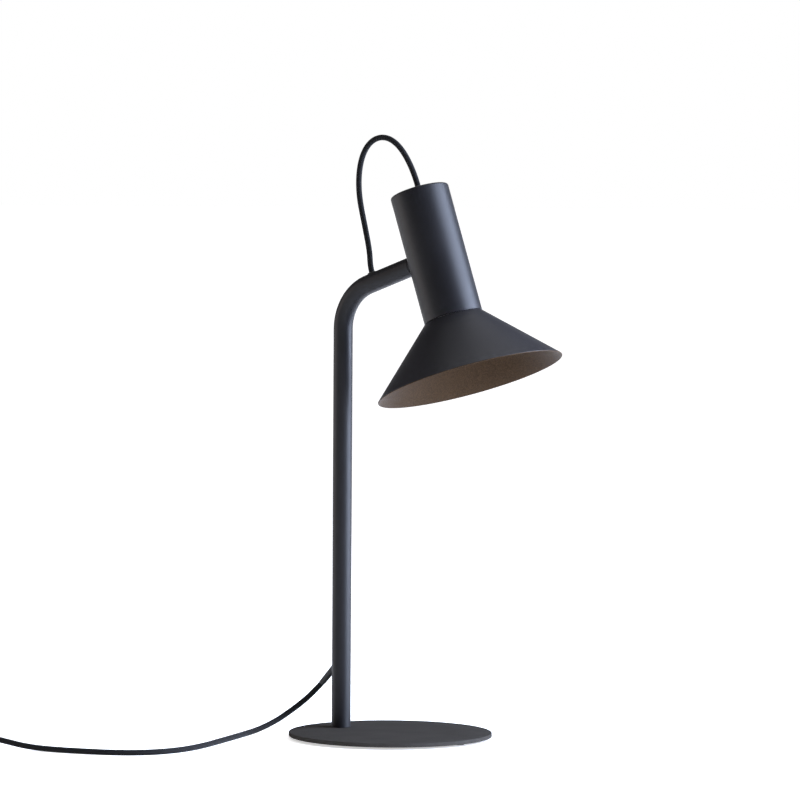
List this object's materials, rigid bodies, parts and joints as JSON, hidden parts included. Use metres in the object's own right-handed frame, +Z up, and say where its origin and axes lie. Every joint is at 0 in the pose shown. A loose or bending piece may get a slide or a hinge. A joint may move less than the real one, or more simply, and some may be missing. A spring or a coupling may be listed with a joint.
{
  "type": "desk lamp",
  "caption": "Desk lamp with a round base, one bent tube stem, and a cylindrical spot head with a cone shade that swivels on the arm's end, on a textile lead with switch and plug.",
  "frame": {"origin": "on the table, below the middle of the lamp's box without its cord", "axes": "+Z up; +X from the stem towards the head, along the rising arm; the lamp is symmetric about the plane Y = 0 apart from its cord and wiring"},
  "size_m": [0.5773, 0.5204, 0.5929],
  "materials": {
    "anthracite_paint": "satin powder coat with a fine grain",
    "shade_paint": "satin powder coat outside, copper-brown fine-grained coat inside",
    "zinc_steel": "zinc plated",
    "aluminium": "turned",
    "brass": "turned",
    "black_plastic": "moulded, fine spark texture",
    "black_rubber": "matt",
    "white_nylon": "moulded",
    "white_ceramic": "glazed ceramic",
    "black_textile": "round braid",
    "wire_sleeving": "woven glass sleeve",
    "lamp_white": "lamp body",
    "lamp_lens": "frosted"
  },
  "bodies": {
    "stand": {"base_plate": "anthracite_paint", "stem_tube": "anthracite_paint", "stem_foot_insert": "zinc_steel", "locating_pin": "zinc_steel", "base_screw": "zinc_steel", "arm_end_insert": "zinc_steel", "pivot_washer": "zinc_steel", "spring_washer": "zinc_steel", "pivot_bolt": "zinc_steel", "switch_screw_1": "zinc_steel", "switch_screw_2": "zinc_steel", "rocker_axle": "zinc_steel", "plug_pin_1": "zinc_steel", "plug_pin_2": "zinc_steel", "contact_strip_1": "brass", "contact_strip_2": "brass", "switch_lower_shell": "black_plastic", "switch_upper_shell": "black_plastic", "plug_body": "black_plastic", "coil_strap": "black_plastic", "foot_1": "black_rubber", "foot_2": "black_rubber", "foot_3": "black_rubber", "cord_exit_bush": "black_rubber", "arm_grommet": "black_rubber", "switch_relief_1": "black_rubber", "switch_relief_2": "black_rubber", "plug_relief": "black_rubber", "cord_anchor": "white_nylon", "friction_washer": "white_nylon", "inner_cord": "black_textile", "supply_cord": "black_textile", "cord_link": "black_textile", "cord_tail": "black_textile", "supply_coil": "black_textile"},
    "head": {"swivel_saddle": "anthracite_paint", "backing_plate": "zinc_steel", "head_housing": "anthracite_paint", "cap_gland": "black_plastic", "gland_nut": "brass", "cord_end": "black_textile", "holder_bracket": "zinc_steel", "holder_screw_1": "zinc_steel", "holder_screw_2": "zinc_steel", "lampholder": "white_ceramic", "terminal_block": "white_nylon", "terminal_barrel_1": "brass", "terminal_barrel_2": "brass", "block_screw": "zinc_steel", "cord_core_1": "black_plastic", "cord_core_2": "black_plastic", "holder_lead_1": "wire_sleeving", "holder_lead_2": "wire_sleeving", "lamp_body": "lamp_white", "lamp_lens": "lamp_lens", "neck_sleeve": "aluminium", "shade": "shade_paint", "shade_ring": "aluminium", "loop_cord": "black_textile"},
    "rocker": {"switch_rocker": "black_plastic"}
  },
  "joints": [
    {"name": "head_swivel", "type": "hinge", "parent": "stand", "child": "head", "pos_m": [0.0122, 0, 0.47537], "axis": [0.9432, 0, 0.3322], "range_deg": [-90, 90], "deforming": ["loop_cord"]},
    {"name": "switch_rocker_tilt", "type": "hinge", "parent": "stand", "child": "rocker", "pos_m": [-0.34447, -0.307, 0.015], "axis": [0, -1, 0], "range_deg": [0, 14]}
  ]
}
